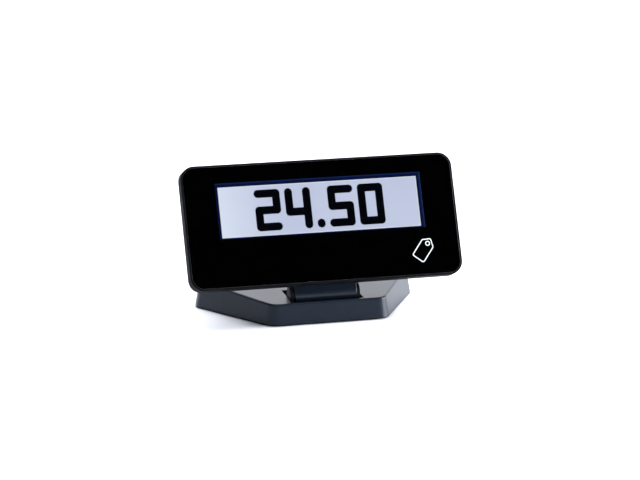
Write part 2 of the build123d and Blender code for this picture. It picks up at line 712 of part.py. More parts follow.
# ---------------------------------------------------------------- base
def base_cover():
    outer = base_block(0, COVER_LOW, 0)
    top_edges = outer.faces().sort_by(Axis.Z)[-1].edges()
    outer = fillet(top_edges, TOP_ROUND)
    shell = outer - base_block(BASE_WALL, COVER_LOW, BASE_TOP_T)
    slot_y = (SLOT_FRONT_Y + SLOT_BACK_Y) / 2
    slot_l = SLOT_BACK_Y - SLOT_FRONT_Y
    lip_low = FLANGE_TOP + LIP_GAP
    lip = Rectangle(2 * (SLOT_HALF + SLOT_LIP), slot_l + 2 * SLOT_LIP)
    lip_block = Pos(0, slot_y, lip_low) * extrude(lip, amount=THROUGH)
    shell += lip_block & outer
    for x, y in base_screws_at():
        shell += (Pos(x, y, PLATE_TOP) * extrude(Circle(BASE_BOSS_R), amount=THROUGH)) & outer
        shell -= Pos(x, y, PLATE_TOP) * extrude(Circle(SCREW_R), amount=top_z(y) - BASE_TOP_T - PLATE_TOP)
    slot = Pos(0, slot_y, 0) * extrude(Rectangle(2 * SLOT_HALF, slot_l), amount=THROUGH)
    shell -= slot
    return fillet([edge for edge in shell.edges() if on_slot_rim(edge.center())], SLOT_ROUND)


def on_slot_rim(point):
    """Whether a point lies on the sloping top and no further out than the slot's sides."""
    level = abs(point.Z - top_z(point.Y)) < TOUCH
    across = abs(point.X) < SLOT_HALF + TOUCH
    return level and across and SLOT_FRONT_Y - TOUCH < point.Y < SLOT_BACK_Y + TOUCH


def base_plate():
    """The base's floor: a tray inside the cover's wall, on a thin rim that closes the wall's foot."""
    plan = hexagon(BASE_WALL + PLATE_T * TAN_DRAFT + PLATE_GAP)
    plate = Pos(0, 0, COVER_LOW) * extrude(plan, amount=PLATE_T)
    plate += Pos(0, 0, FOOT_GAP) * extrude(hexagon(PLATE_RIM_IN), amount=PLATE_RIM)
    for x, y in base_screws_at():
        under = Pos(x, y, FOOT_GAP)
        plate -= under * extrude(Circle(SCREW_R + SCREW_CLEAR), amount=PLATE_TOP - FOOT_GAP)
        plate -= under * extrude(Circle(SCREW_HEAD_R + WELL_CLEAR), amount=BASE_SCREW_WELL)
    for x, y in foot_places():
        plate -= Pos(x, y, FOOT_GAP) * extrude(Circle(FOOT_R + FOOT_CLEAR), amount=FOOT_SINK)
    return plate


def ballast_plate():
    plate = hexagon(BALLAST_INSET)
    for x, y in base_screws_at():
        plate -= Pos(x, y) * Circle(BASE_BOSS_R + BOSS_CLEAR)
    plate = Pos(0, 0, PLATE_TOP) * extrude(plate, amount=BALLAST_T)
    for x, y in FLANGE_BOLTS:
        plate -= Pos(x, y, PLATE_TOP) * extrude(Circle(SCREW_R), amount=BALLAST_T)
    return plate


def foot_places():
    """Foot centres, a share of the way from the middle to each corner of the base."""
    return [(x * FOOT_SHARE, y * FOOT_SHARE) for x, y in corners()]


def rubber_feet():
    foot = extrude(Circle(FOOT_R), amount=FOOT_GAP + FOOT_SINK)
    foot = fillet(foot.edges().sort_by(Axis.Z)[0], FOOT_ROUND)
    return many(Pos(x, y, 0) * foot for x, y in foot_places())


def base_screws():
    seat = FOOT_GAP + BASE_SCREW_WELL
    screw = Rot(180, 0, 0) * pan_screw(PLATE_TOP - seat + BASE_SCREW_GRIP, head_t=BASE_SCREW_HEAD_T)
    return many(Pos(x, y, seat) * screw for x, y in base_screws_at())


HEAD_NODES = {
    "front_lens": front_lens,
    "lens_mask": lens_mask,
    "front_bezel": front_bezel,
    "rear_cover": rear_cover,
    "lcd_frame": lcd_frame,
    "lcd_polarizer": lcd_polarizer,
    "lcd_cell": lcd_cell,
    "light_guide": light_guide,
    "backlight_reflector": backlight_reflector,
    "backlight_strip": backlight_strip,
    "lcd_flex": lcd_flex,
    "display_board": display_board,
    "controller_chip": controller_chip,
    "voltage_regulator": voltage_regulator,
    "board_crystal": board_crystal,
    "board_capacitors": board_capacitors,
    "flex_connector": flex_connector,
    "usb_socket": usb_socket,
    "board_screws": board_screws,
    "case_screws": case_screws,
    "neck_body": neck_body,
    "neck_cover": neck_cover,
    "neck_screws": neck_screws,
    "friction_sleeves": friction_sleeves,
}
BASE_NODES = {
    "hinge_shaft": hinge_shaft,
    "shaft_retainer": shaft_retainer,
    "hinge_washers": hinge_washers,
    "left_hinge_bracket": lambda: hinge_bracket(-1),
    "right_hinge_bracket": lambda: hinge_bracket(1),
    "bracket_screws": bracket_screws,
    "base_cover": base_cover,
    "base_plate": base_plate,
    "ballast_plate": ballast_plate,
    "rubber_feet": rubber_feet,
    "base_screws": base_screws,
}


def main():
    os.makedirs("parts", exist_ok=True)
    for name, make in HEAD_NODES.items():
        export_step(PLACE * make(), f"parts/{name}.step")
    for name, make in BASE_NODES.items():
        export_step(make(), f"parts/{name}.step")


main()
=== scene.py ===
import json
import math

import bpy
from mathutils import Matrix, Vector


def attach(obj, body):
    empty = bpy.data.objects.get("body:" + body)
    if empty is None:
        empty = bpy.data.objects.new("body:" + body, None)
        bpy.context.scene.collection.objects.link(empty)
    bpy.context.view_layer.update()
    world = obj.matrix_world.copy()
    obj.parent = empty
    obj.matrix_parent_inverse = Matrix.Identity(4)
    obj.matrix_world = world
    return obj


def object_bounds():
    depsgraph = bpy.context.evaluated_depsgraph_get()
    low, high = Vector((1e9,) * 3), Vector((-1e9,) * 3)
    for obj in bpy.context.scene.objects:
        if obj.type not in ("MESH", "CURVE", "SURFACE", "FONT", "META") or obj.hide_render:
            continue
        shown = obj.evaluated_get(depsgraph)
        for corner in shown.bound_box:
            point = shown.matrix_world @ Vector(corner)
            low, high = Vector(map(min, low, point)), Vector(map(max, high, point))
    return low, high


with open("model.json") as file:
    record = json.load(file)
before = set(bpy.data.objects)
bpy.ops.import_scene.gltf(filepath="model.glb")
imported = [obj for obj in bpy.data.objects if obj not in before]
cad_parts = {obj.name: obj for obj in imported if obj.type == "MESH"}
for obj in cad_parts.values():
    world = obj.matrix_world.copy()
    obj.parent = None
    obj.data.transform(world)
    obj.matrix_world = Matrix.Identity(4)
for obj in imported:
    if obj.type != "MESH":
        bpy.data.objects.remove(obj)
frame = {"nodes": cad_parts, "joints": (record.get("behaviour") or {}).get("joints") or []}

CAD_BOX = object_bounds()
NODES = frame["nodes"]
MM = 0.001

# ---------------------------------------------------------------- the head's own frame
# x runs to the right, y up the face and z out of the face, with the origin at the foot of the lens.
TILT = math.radians(23.0)
HINGE_DROP = 3.0 * MM
HINGE_DEPTH = 14.3 * MM
FACE_UP = Vector((0, math.sin(TILT), math.cos(TILT)))
FACE_OUT = Vector((0, -math.cos(TILT), math.sin(TILT)))
HINGE = Vector(frame["joints"][0]["pos_m"])
HEAD = Matrix.Translation(HINGE + FACE_UP * HINGE_DROP + FACE_OUT * HINGE_DEPTH) @ Matrix(
    ((1, 0, 0, 0), (0, FACE_UP.y, FACE_OUT.y, 0), (0, FACE_UP.z, FACE_OUT.z, 0), (0, 0, 0, 1))
)

# ---------------------------------------------------------------- the picture on the screen
PICTURE_DEPTH = 3.34 * MM
PICTURE_THICK = 0.03 * MM
DOTS_THICK = 0.024 * MM
LIT_W = 108.4 * MM
LIT_H = 26.9 * MM
LIT_X = 0.0 * MM
LIT_Y = 40.9 * MM
DOTS_ACROSS = 256
DOTS_UP = 64
DOT = LIT_W / DOTS_ACROSS
GLYPH_W = 33
GLYPH_H = 52
STROKE = 10
GLYPH_GAP = 6
GLYPH_FOOT = 6
AMOUNT = "24.50"

# the small mark printed behind the lens
MARK_AT = Vector((54.0 * MM, 14.8 * MM))
TAG_W = 7.6 * MM
TAG_L = 13.6 * MM
TAG_SHOULDER = 0.52
TAG_LEAN = math.radians(-38)
TAG_R = 1.1 * MM
TAG_LINE = 0.55 * MM
EYELET_AT = 0.50
EYELET_R = 1.35 * MM
EYELET_SIDES = 32
PRINT_DEPTH = 1.47 * MM
PRINT_THICK = 0.02 * MM


# ---------------------------------------------------------------- shader building
def add(tree, kind, inputs=None, **settings):
    """Puts a node in a tree, sets it up, and links or fills its inputs."""
    node = tree.nodes.new(kind)
    for name, value in settings.items():
        setattr(node, name, value)
    for name, value in (inputs or {}).items():
        if isinstance(value, bpy.types.NodeSocket):
            tree.links.new(value, node.inputs[name])
        else:
            node.inputs[name].default_value = value
    return node


def maths(tree, operation, *values):
    """One arithmetic step, as its output socket."""
    node = add(tree, "ShaderNodeMath", operation=operation)
    for socket, value in zip(node.inputs, values):
        if isinstance(value, bpy.types.NodeSocket):
            tree.links.new(value, socket)
        else:
            socket.default_value = value
    return node.outputs[0]


def spread(tree, value, low, high, to_low=0.0, to_high=1.0):
    """Maps a value from one range onto another, held at its ends."""
    node = add(
        tree,
        "ShaderNodeMapRange",
        {"Value": value, "From Min": low, "From Max": high, "To Min": to_low, "To Max": to_high},
    )
    return node.outputs["Result"]


def blend_colours(tree, amount, first, second):
    """Mixes two colours by an amount, as the result's socket."""
    node = add(tree, "ShaderNodeMix", data_type="RGBA")
    for socket, value in ((node.inputs[0], amount), (node.inputs[6], first), (node.inputs[7], second)):
        if isinstance(value, bpy.types.NodeSocket):
            tree.links.new(value, socket)
        else:
            socket.default_value = value
    return node.outputs[2]


def noise(tree, scale, detail=3.0, rough=0.55, vector=None):
    """A noise over the piece's own metres, as its factor socket."""
    place = vector or add(tree, "ShaderNodeTexCoord").outputs["Object"]
    settings = {"Vector": place, "Scale": scale, "Detail": detail, "Roughness": rough}
    return add(tree, "ShaderNodeTexNoise", settings).outputs["Fac"]


def grey(value):
    return (value, value, value, 1.0)


def new_group(name, inputs, outputs):
    """An empty shader group with named number inputs and named outputs."""
    group = bpy.data.node_groups.new(name, "ShaderNodeTree")
    for label, value in inputs:
        group.interface.new_socket(label, in_out="INPUT", socket_type="NodeSocketFloat").default_value = value
    for label, kind in outputs:
        group.interface.new_socket(label, in_out="OUTPUT", socket_type=kind)
    return group, group.nodes.new("NodeGroupInput").outputs, group.nodes.new("NodeGroupOutput").inputs


def place_group(tree, group, inputs=None):
    node = tree.nodes.new("ShaderNodeGroup")
    node.node_tree = group
    for name, value in (inputs or {}).items():
        node.inputs[name].default_value = value
    return node.outputs


def moulded_grain_group():
    """Spark-eroded mould grain: a fine pebble for the bump, and slow patches for the gloss."""
    group, given, out = new_group(
        "moulded_grain",
        [("Fineness", 4200.0), ("Patches", 55.0)],
        [("Height", "NodeSocketFloat"), ("Patch", "NodeSocketFloat")],
    )
    place = add(group, "ShaderNodeTexCoord").outputs["Object"]
    cells = {"Vector": place, "Scale": given["Fineness"]}
    pebble = add(group, "ShaderNodeTexVoronoi", cells, feature="SMOOTH_F1").outputs["Distance"]
    fine = noise(group, given["Fineness"], 2.0, 0.6, place)
    group.links.new(maths(group, "ADD", maths(group, "MULTIPLY", pebble, 0.6), fine), out["Height"])
    group.links.new(noise(group, given["Patches"], 4.0, 0.6, place), out["Patch"])
    return group


def edge_wear_group():
    """A mask of the rubbed edges, broken up so that it isn't a clean line."""
    group, given, out = new_group(
        "edge_wear", [("Width", 0.0006), ("Break Up", 900.0)], [("Mask", "NodeSocketFloat")]
    )
    rounded = add(group, "ShaderNodeBevel", {"Radius": given["Width"]}, samples=4).outputs["Normal"]
    plain = add(group, "ShaderNodeNewGeometry").outputs["Normal"]
    dot = add(group, "ShaderNodeVectorMath", {0: rounded, 1: plain}, operation="DOT_PRODUCT").outputs["Value"]
    edge = spread(group, maths(group, "SUBTRACT", 1.0, dot), 0.01, 0.16)
    broken = spread(group, noise(group, given["Break Up"], 5.0, 0.7), 0.35, 0.65)
    group.links.new(maths(group, "MULTIPLY", edge, broken), out["Mask"])
    return group


def dust_group():
    """A mask of the thin dust that settles on what faces up."""
    group, given, out = new_group("settled_dust", [("Speck Scale", 2600.0)], [("Mask", "NodeSocketFloat")])
    normal = add(group, "ShaderNodeTexCoord").outputs["Normal"]
    up = add(group, "ShaderNodeSeparateXYZ", {"Vector": normal}).outputs["Z"]
    facing = spread(group, up, 0.5, 1.0)
    film = spread(group, noise(group, 120.0, 5.0, 0.7), 0.4, 0.8)
    speck = spread(group, noise(group, given["Speck Scale"], 1.0, 0.4), 0.68, 0.74)
    both = maths(group, "MAXIMUM", maths(group, "MULTIPLY", film, 0.35), speck)
    group.links.new(maths(group, "MULTIPLY", facing, both), out["Mask"])
    return group


GRAIN = moulded_grain_group()
WEAR = edge_wear_group()
DUST = dust_group()


def new_material(name, **plain):
    """A material with one Principled shader, its plain values set on the shader's own sockets."""
    material = bpy.data.materials.new(name)
    material.use_nodes = True
    tree = material.node_tree
    tree.nodes.clear()
    shader = add(tree, "ShaderNodeBsdfPrincipled", {k.replace("_", " "): v for k, v in plain.items()})
    add(tree, "ShaderNodeOutputMaterial", {"Surface": shader.outputs[0]})
    return material, tree, shader


def bump(tree, shader, height, distance, strength=1.0):
    node = add(tree, "ShaderNodeBump", {"Height": height, "Distance": distance, "Strength": strength})
    tree.links.new(node.outputs["Normal"], shader.inputs["Normal"])


# ---------------------------------------------------------------- finishes
def moulded_plastic(name, colour, worn, rough, level, grain=1.0, dust=0.06):
    """Moulded housing plastic: spark grain, patchy gloss, rubbed edges and a little dust."""
    material, tree, shader = new_material(name, IOR=1.52, Specular_IOR_Level=level)
    texture = place_group(tree, GRAIN)
    edge = place_group(tree, WEAR)["Mask"]
    settled = maths(tree, "MULTIPLY", place_group(tree, DUST)["Mask"], dust)
    darker = tuple(0.93 * c for c in colour[:3]) + (1.0,)
    body = blend_colours(tree, spread(tree, texture["Patch"], 0.35, 0.65), darker, colour)
    rubbed = blend_colours(tree, maths(tree, "MULTIPLY", edge, 0.5), body, worn)
    dusty = blend_colours(tree, settled, rubbed, grey(0.30))
    tree.links.new(dusty, shader.inputs["Base Color"])
    gloss = spread(tree, texture["Patch"], 0.3, 0.7, rough[0], rough[1])
    polished = maths(tree, "SUBTRACT", gloss, maths(tree, "MULTIPLY", edge, 0.06))
    dulled = maths(tree, "ADD", polished, maths(tree, "MULTIPLY", settled, 0.5))
    tree.links.new(dulled, shader.inputs["Roughness"])
    bump(tree, shader, texture["Height"], 0.0025 * MM * grain)
    return material


def metal(name, colour, rough, along, stretch=60.0, worn=grey(0.7)):
    """Worked metal: fine lines along one way, uneven gloss and bright edges."""
    material, tree, shader = new_material(name, Metallic=1.0)
    place = add(tree, "ShaderNodeTexCoord").outputs["Object"]
    squeeze = tuple(300.0 if axis == along else 300.0 * stretch for axis in "XYZ")
    lined = add(tree, "ShaderNodeVectorMath", {0: place, 1: squeeze}, operation="MULTIPLY").outputs["Vector"]
    lines = noise(tree, 1.0, 4.0, 0.65, lined)
    edge = place_group(tree, WEAR, {"Width": 0.3 * MM})["Mask"]
    darker = tuple(0.8 * c for c in colour[:3]) + (1.0,)
    body = blend_colours(tree, spread(tree, lines, 0.3, 0.7), darker, colour)
    tree.links.new(blend_colours(tree, edge, body, worn), shader.inputs["Base Color"])
    tree.links.new(spread(tree, lines, 0.3, 0.7, rough * 0.8, rough * 1.25), shader.inputs["Roughness"])
    bump(tree, shader, lines, 0.002 * MM)
    return material


def coated_metal(name, colour, chipped, rough, level=0.5):
    """Thin dark coating over steel, fine orange peel, with the steel showing at rubbed edges."""
    material, tree, shader = new_material(name, Specular_IOR_Level=level)
    peel = noise(tree, 2400.0, 2.0, 0.5)
    edge = place_group(tree, WEAR, {"Width": 0.25 * MM, "Break Up": 2200.0})["Mask"]
    lighter = tuple(1.3 * c for c in colour[:3]) + (1.0,)
    body = blend_colours(tree, spread(tree, peel, 0.3, 0.7), colour, lighter)
    tree.links.new(blend_colours(tree, edge, body, chipped), shader.inputs["Base Color"])
    tree.links.new(maths(tree, "MULTIPLY", edge, 0.8), shader.inputs["Metallic"])
    tree.links.new(spread(tree, peel, 0.3, 0.7, rough - 0.06, rough + 0.08), shader.inputs["Roughness"])
    bump(tree, shader, peel, 0.004 * MM)
    return material


def lens_acrylic():
    """Clear hard-coated acrylic, faint wiping marks in its gloss, its cut edge matt and blacked."""
    material, tree, shader = new_material("clear_acrylic", Transmission_Weight=1.0, IOR=1.49)
    side = add(tree, "ShaderNodeTexCoord").outputs["Normal"]
    pair = {0: side, 1: tuple(FACE_OUT)}
    facing = add(tree, "ShaderNodeVectorMath", pair, operation="DOT_PRODUCT").outputs["Value"]
    cut = spread(tree, maths(tree, "ABSOLUTE", facing), 0.90, 0.99, 1.0, 0.0)
    body = blend_colours(tree, cut, (0.93, 0.95, 0.96, 1.0), grey(0.002))
    tree.links.new(body, shader.inputs["Base Color"])
    wipe = spread(tree, noise(tree, 35.0, 6.0, 0.7), 0.45, 0.8, 0.0, 0.05)
    tree.links.new(maths(tree, "ADD", wipe, maths(tree, "MULTIPLY", cut, 0.6)), shader.inputs["Roughness"])
    return material


def black_print():
    """Opaque screen print: dense black with the weave of the screen just showing."""
    material, tree, shader = new_material("black_print", Specular_IOR_Level=0.0)
    weave = noise(tree, 3000.0, 2.0, 0.4)
    tone = blend_colours(tree, weave, (0.0004, 0.0004, 0.0006, 1.0), (0.0010, 0.0010, 0.0014, 1.0))
    tree.links.new(tone, shader.inputs["Base Color"])
    tree.links.new(spread(tree, weave, 0.3, 0.7, 0.5, 0.65), shader.inputs["Roughness"])
    return material


def white_print_painted_glow():
    """White screen print with a painted glow: its emission keeps it bright behind the lens, where little
    light reaches it.
    """
    material, tree, shader = new_material("white_print_painted_glow", Roughness=0.5, Emission_Strength=0.85)
    weave = spread(tree, noise(tree, 4000.0, 2.0, 0.5), 0.3, 0.7)
    tone = blend_colours(tree, weave, grey(0.78), grey(0.92))
    tree.links.new(tone, shader.inputs["Base Color"])
    # the print's white also drives emission, a painted glow, though the print is no lamp
    tree.links.new(tone, shader.inputs["Emission Color"])
    return material


def dot_lines(tree):
    """A mask of the thin dark lines between the screen's dots, from the head's own x and y."""
    place = add(tree, "ShaderNodeTexCoord").outputs["Object"]
    parts = add(tree, "ShaderNodeSeparateXYZ", {"Vector": place}).outputs
    masks = []
    for axis, offset in (("X", LIT_X - LIT_W / 2), ("Y", LIT_Y - LIT_H / 2)):
        along = maths(tree, "DIVIDE", maths(tree, "SUBTRACT", parts[axis], offset), DOT)
        inside = maths(tree, "FRACT", along)
        masks.append(maths(tree, "GREATER_THAN", inside, 0.9))
    return maths(tree, "MAXIMUM", *masks), parts


def lit_picture():
    """The lit part of the screen: cool white, brighter towards the lamps, with a fine dot structure."""
    material, tree, shader = new_material(
        "lit_screen",
        Base_Color=(0.02, 0.02, 0.025, 1.0),
        Roughness=0.35,
        Specular_IOR_Level=0.0,
        Emission_Strength=1.0,
    )
    lines, place = dot_lines(tree)
    near_lamps = spread(tree, place["X"], LIT_X - LIT_W / 2, LIT_X - LIT_W / 4, 1.0, 0.0)
    cloud = noise(tree, 22.0, 3.0, 0.5)
    soft = maths(tree, "ADD", maths(tree, "MULTIPLY", near_lamps, 0.6), maths(tree, "MULTIPLY", cloud, 0.4))
    glow = blend_colours(tree, soft, (0.55, 0.60, 0.79, 1.0), (0.84, 0.90, 1.02, 1.0))
    toned = blend_colours(tree, maths(tree, "MULTIPLY", lines, 0.12), glow, (0.10, 0.13, 0.22, 1.0))
    tree.links.new(toned, shader.inputs["Emission Color"])
    return material


def lit_rim():
    """The bright rim of the lit part, where the backlight leaks past the last dots."""
    material, tree, shader = new_material(
        "lit_screen_rim",
        Base_Color=grey(0.02),
        Roughness=0.35,
        Specular_IOR_Level=0.0,
        Emission_Strength=1.0,
    )
    cloud = noise(tree, 60.0, 3.0, 0.5)
    glow = blend_colours(tree, cloud, (0.72, 0.78, 0.86, 1.0), (0.86, 0.90, 0.96, 1.0))
    tree.links.new(glow, shader.inputs["Emission Color"])
    return material


def dark_dots():
    """Driven dots: nearly black, with the dot lines a shade lighter."""
    material, tree, shader = new_material(
        "dark_dots", Roughness=0.4, Specular_IOR_Level=0.0, Emission_Strength=1.0
    )
    lines, _ = dot_lines(tree)
    tone = blend_colours(tree, lines, (0.0005, 0.0005, 0.0010, 1.0), (0.003, 0.004, 0.008, 1.0))
    tree.links.new(tone, shader.inputs["Base Color"])
    glow = blend_colours(tree, lines, grey(0.0), (0.004, 0.006, 0.012, 1.0))
    tree.links.new(glow, shader.inputs["Emission Color"])
    return material


def blue_film():
    """Blue negative film over the glass: navy where nothing is driven, brighter along its outer edge."""
    material, tree, shader = new_material(
        "blue_film", Roughness=0.3, Specular_IOR_Level=0.0, Emission_Strength=1.0
    )
    place = add(tree, "ShaderNodeTexCoord").outputs["Generated"]
    parts = add(tree, "ShaderNodeSeparateXYZ", {"Vector": place}).outputs
    edges = []
    for axis, low, high in (("X", 0.955, 0.968), ("Z", 0.86, 0.90)):
        from_middle = maths(tree, "ABSOLUTE", maths(tree, "SUBTRACT", parts[axis], 0.5))
        edges.append(spread(tree, maths(tree, "MULTIPLY", from_middle, 2.0), low, high))
    edge = maths(tree, "MAXIMUM", *edges)
    cloud = noise(tree, 40.0, 3.0, 0.6)
    navy = blend_colours(tree, cloud, (0.0016, 0.0030, 0.022, 1.0), (0.0022, 0.0055, 0.040, 1.0))
    glow = blend_colours(tree, edge, navy, (0.010, 0.026, 0.095, 1.0))
    tree.links.new(glow, shader.inputs["Emission Color"])
    tree.links.new(navy, shader.inputs["Base Color"])
    return material


def lcd_glass():
    material, tree, shader = new_material(
        "display_glass", Transmission_Weight=1.0, IOR=1.52, Base_Color=(0.80, 0.88, 0.90, 1.0)
    )
    tree.links.new(spread(tree, noise(tree, 90.0), 0.3, 0.7, 0.02, 0.06), shader.inputs["Roughness"])
    return material


def frosted_guide():
    """Frosted acrylic with the printed dots that throw the light forward."""
    material, tree, shader = new_material("frosted_guide", IOR=1.49)
    place = add(tree, "ShaderNodeTexCoord").outputs["Object"]
    dots = add(tree, "ShaderNodeTexVoronoi", {"Vector": place, "Scale": 900.0, "Randomness": 0.15})
    spot = spread(tree, dots.outputs["Distance"], 0.30, 0.36, 1.0, 0.0)
    tone = blend_colours(tree, spot, (0.80, 0.84, 0.87, 1.0), grey(0.95))
    tree.links.new(tone, shader.inputs["Base Color"])
    tree.links.new(spread(tree, spot, 0.0, 1.0, 0.18, 0.6), shader.inputs["Roughness"])
    return material


def white_sheet():
    material, tree, shader = new_material("white_reflector")
    fibre = noise(tree, 1800.0, 4.0, 0.7)
    tree.links.new(blend_colours(tree, fibre, grey(0.80), grey(0.92)), shader.inputs["Base Color"])
    tree.links.new(spread(tree, fibre, 0.3, 0.7, 0.35, 0.5), shader.inputs["Roughness"])
    return material


def circuit_board():
    """Green solder mask over copper tracks that run in two directions, with tinned pads."""
    material, tree, shader = new_material("green_solder_mask", Coat_Weight=0.4, Coat_Roughness=0.15)
    place = add(tree, "ShaderNodeTexCoord").outputs["Object"]
    lanes = {"Vector": place, "Scale": 420.0, "Mortar Size": 0.035}
    lanes.update({"Color1": grey(0), "Color2": grey(0), "Mortar": grey(1)})
    tracks = add(tree, "ShaderNodeTexBrick", lanes).outputs["Color"]
    pads = add(tree, "ShaderNodeTexVoronoi", {"Vector": place, "Scale": 330.0}).outputs["Distance"]
    pad = spread(tree, pads, 0.09, 0.11, 1.0, 0.0)
    mask = blend_colours(tree, tracks, (0.010, 0.070, 0.028, 1.0), (0.020, 0.145, 0.055, 1.0))
    tree.links.new(blend_colours(tree, pad, mask, (0.55, 0.55, 0.52, 1.0)), shader.inputs["Base Color"])
    tree.links.new(pad, shader.inputs["Metallic"])
    tree.links.new(spread(tree, pad, 0.0, 1.0, 0.42, 0.25), shader.inputs["Roughness"])
    bump(tree, shader, tracks, 0.03 * MM, 0.5)
    return material


def chip_moulding():
    """Matte moulded package with a faint speckle."""
    material, tree, shader = new_material("chip_moulding")
    speck = noise(tree, 5200.0, 3.0, 0.7)
    tree.links.new(blend_colours(tree, speck, grey(0.012), grey(0.035)), shader.inputs["Base Color"])
    tree.links.new(spread(tree, speck, 0.3, 0.7, 0.5, 0.7), shader.inputs["Roughness"])
    bump(tree, shader, speck, 0.006 * MM)
    return material


def striped(name, first, second, pitch, along="X", rough=0.35, metallic=0.0):
    """Even stripes across one axis: copper in a flex, ribs on a connector or caps on a part."""
    material, tree, shader = new_material(name, Metallic=metallic)
    place = add(tree, "ShaderNodeTexCoord").outputs["Object"]
    part = add(tree, "ShaderNodeSeparateXYZ", {"Vector": place}).outputs[along]
    stripe = maths(tree, "GREATER_THAN", maths(tree, "FRACT", maths(tree, "DIVIDE", part, pitch)), 0.5)
    grain = noise(tree, 3000.0, 3.0, 0.6)
    toned = blend_colours(tree, stripe, first, second)
    grained = blend_colours(tree, maths(tree, "MULTIPLY", grain, 0.2), toned, grey(0.1))
    tree.links.new(grained, shader.inputs["Base Color"])
    tree.links.new(spread(tree, grain, 0.3, 0.7, rough - 0.08, rough + 0.08), shader.inputs["Roughness"])
    return material


def moulded_rubber():
    """Dull black rubber with a chalky bloom."""
    material, tree, shader = new_material("black_rubber", IOR=1.45)
    bloom = noise(tree, 700.0, 5.0, 0.7)
    tree.links.new(blend_colours(tree, bloom, grey(0.008), grey(0.030)), shader.inputs["Base Color"])
    tree.links.new(spread(tree, bloom, 0.3, 0.7, 0.7, 0.9), shader.inputs["Roughness"])
    bump(tree, shader, noise(tree, 5000.0, 2.0, 0.5), 0.01 * MM)
    return material


SLATE = (0.0095, 0.0150, 0.0245, 1.0)
SLATE_WORN = (0.050, 0.062, 0.075, 1.0)
SHELL_BLACK = (0.0120, 0.0140, 0.0170, 1.0)
BEZEL_BLACK = (0.0060, 0.0065, 0.0075, 1.0)
COAL = (0.0040, 0.0040, 0.0045, 1.0)
HOUSING = moulded_plastic("slate_black_abs", SLATE, SLATE_WORN, (0.28, 0.33), 0.26)
SHELL = moulded_plastic("head_shell_abs", SHELL_BLACK, grey(0.05), (0.44, 0.52), 0.10)
BEZEL = moulded_plastic("matte_bezel_abs", BEZEL_BLACK, grey(0.03), (0.50, 0.62), 0.02, 1.4, 0.0)
UNDERSIDE = moulded_plastic("black_abs", COAL, grey(0.02), (0.45, 0.60), 0.10, 1.4, 0.0)
STAMPED = metal("tinned_steel", (0.56, 0.57, 0.58, 1.0), 0.28, "X")
SPRING = metal("spring_steel", (0.36, 0.36, 0.38, 1.0), 0.30, "X", 30.0)
ACETAL = coated_metal("black_acetal", (0.006, 0.006, 0.007, 1.0), grey(0.02), 0.5)
ZINC_PLATE = metal("zinc_plate", (0.42, 0.43, 0.45, 1.0), 0.38, "X", 12.0)
BLACK_ZINC = coated_metal("black_zinc", (0.020, 0.021, 0.024, 1.0), (0.42, 0.42, 0.44, 1.0), 0.34)
E_COAT = coated_metal("black_e_coat", (0.006, 0.007, 0.009, 1.0), (0.10, 0.10, 0.11, 1.0), 0.58, 0.15)
CHIP = chip_moulding()
FINISHES = {
    "front_lens": lens_acrylic(),
    "lens_mask": black_print(),
    "lcd_polarizer": blue_film(),
    "lcd_cell": lcd_glass(),
    "light_guide": frosted_guide(),
    "backlight_reflector": white_sheet(),
    "backlight_strip": striped("lamp_board", (0.75, 0.73, 0.66, 1.0), (0.85, 0.83, 0.70, 1.0), 3.0 * MM, "Z"),
    "lcd_flex": striped("amber_flex", (0.50, 0.22, 0.04, 1.0), (0.62, 0.33, 0.10, 1.0), 0.6 * MM),
    "display_board": circuit_board(),
    "board_capacitors": striped("ceramic_blocks", (0.42, 0.30, 0.18, 1.0), (0.50, 0.38, 0.26, 1.0), 0.8 * MM),
    "flex_connector": striped("ivory_nylon", (0.66, 0.62, 0.52, 1.0), (0.72, 0.68, 0.58, 1.0), 0.5 * MM),
    "rubber_feet": moulded_rubber(),
}
FINISHES.update(dict.fromkeys(("neck_body", "neck_cover", "base_cover"), HOUSING))
FINISHES.update({"front_bezel": BEZEL, "rear_cover": SHELL})
FINISHES.update(dict.fromkeys(("lcd_frame", "board_crystal", "usb_socket"), STAMPED))
FINISHES.update(dict.fromkeys(("controller_chip", "voltage_regulator"), CHIP))
FINISHES.update({"friction_sleeves": SPRING, "shaft_retainer": BLACK_ZINC})
FINISHES.update({"base_plate": UNDERSIDE, "ballast_plate": ZINC_PLATE})
FINISHES.update(dict.fromkeys(("left_hinge_bracket", "right_hinge_bracket"), E_COAT))
FINISHES.update({"hinge_shaft": BLACK_ZINC, "hinge_washers": ACETAL})
SCREW_NODES = ("board_screws", "case_screws", "neck_screws", "bracket_screws", "base_screws")
FINISHES.update(dict.fromkeys(SCREW_NODES, BLACK_ZINC))


def finish_nodes():
    """Gives every carried-over part its own finish."""
    for name, part in NODES.items():
        for holder in part.material_slots:
            holder.material = FINISHES[name]


# ---------------------------------------------------------------- pieces of the picture and the mark
# Each flat shape is a list of points on the face and a list of anticlockwise faces over them. Points and
# faces are always listed in the same order, so that the meshes are the same every time.
def new_piece(name, shape, depth, thickness, material):
    """A closed plate in the head's frame: the shape at a depth, its back, and walls at its open edges."""
    points, faces = shape
    count = len(points)
    verts = [(x, y, -depth) for x, y in points] + [(x, y, -depth - thickness) for x, y in points]
    backs = [tuple(count + v for v in reversed(face)) for face in faces]
    edges = dict.fromkeys(pair for face in faces for pair in zip(face, face[1:] + face[:1]))
    walls = [(b, a, a + count, b + count) for a, b in edges if (b, a) not in edges]
    mesh = bpy.data.meshes.new(name)
    mesh.from_pydata(verts, [], faces + backs + walls)
    piece = bpy.data.objects.new(name, mesh)
    bpy.context.scene.collection.objects.link(piece)
    piece.matrix_world = HEAD
    mesh.materials.append(material)
    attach(piece, "head")


def rectangle(half_w, half_h):
    """The corners of a rectangle about the middle of the lit window."""
    corners = ((-half_w, -half_h), (half_w, -half_h), (half_w, half_h), (-half_w, half_h))
    return [(LIT_X + x, LIT_Y + y) for x, y in corners]


